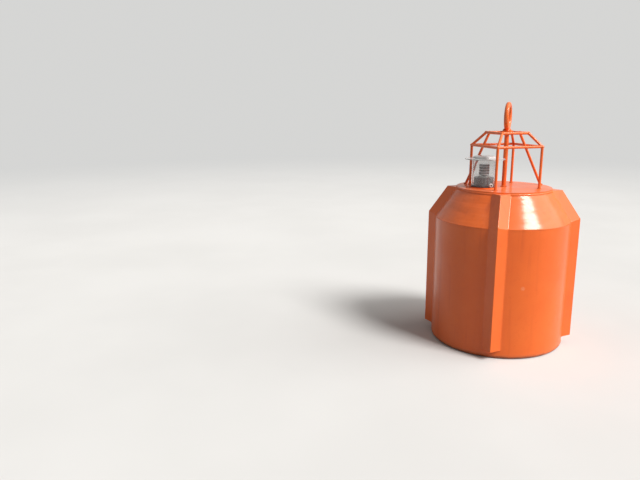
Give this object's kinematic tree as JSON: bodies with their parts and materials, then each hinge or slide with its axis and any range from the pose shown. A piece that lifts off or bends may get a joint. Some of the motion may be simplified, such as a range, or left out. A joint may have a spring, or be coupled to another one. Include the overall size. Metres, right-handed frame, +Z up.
{
  "type": "mooring buoy",
  "caption": "Upright steel mooring buoy with a conical shoulder, outside fender ribs, a rod cage around a deck lantern and a fixed lifting ring.",
  "frame": {"origin": "centre of the buoy's bottom plate, on the ground it stands on", "axes": "+Z up along the buoy's axis; -Y towards the first fender rib, +X to the right of it; the lifting ring stands 5 degrees off the plane of the first and third ribs"},
  "size_m": [0.898, 0.898, 1.464],
  "materials": {
    "hull_paint": "high-gloss orange marine enamel over welded steel plate",
    "lantern_base": "dark grey moulded plastic, matt",
    "lantern_lens": "grey ribbed lens stack, glossy",
    "lantern_clear": "clear moulded polycarbonate, smooth",
    "lantern_cap": "pale grey-white moulded plastic, smooth"
  },
  "bodies": {
    "root": {"hull_bottom": "hull_paint", "hull_side": "hull_paint", "hull_shoulder": "hull_paint", "hull_deck": "hull_paint", "rib_1": "hull_paint", "rib_2": "hull_paint", "rib_3": "hull_paint", "rib_4": "hull_paint", "frame_bar_front_right": "hull_paint", "frame_bar_back_right": "hull_paint", "frame_bar_back_left": "hull_paint", "frame_bar_front_left": "hull_paint", "crown_bar_front_right": "hull_paint", "crown_bar_back_right": "hull_paint", "crown_bar_back_left": "hull_paint", "crown_bar_front_left": "hull_paint", "post_front": "hull_paint", "post_right": "hull_paint", "post_back": "hull_paint", "post_left": "hull_paint", "hip_front": "hull_paint", "hip_right": "hull_paint", "hip_back": "hull_paint", "hip_left": "hull_paint", "brace_side": "hull_paint", "brace_corner": "hull_paint", "centre_post": "hull_paint", "ring_seat": "hull_paint", "lifting_ring": "hull_paint", "mooring_pocket": "hull_paint", "mooring_eye": "hull_paint", "lantern_plate": "hull_paint", "lantern_base": "lantern_base", "lantern_lens": "lantern_lens", "lantern_cover": "lantern_clear", "lantern_cap": "lantern_cap"}
  },
  "joints": []
}
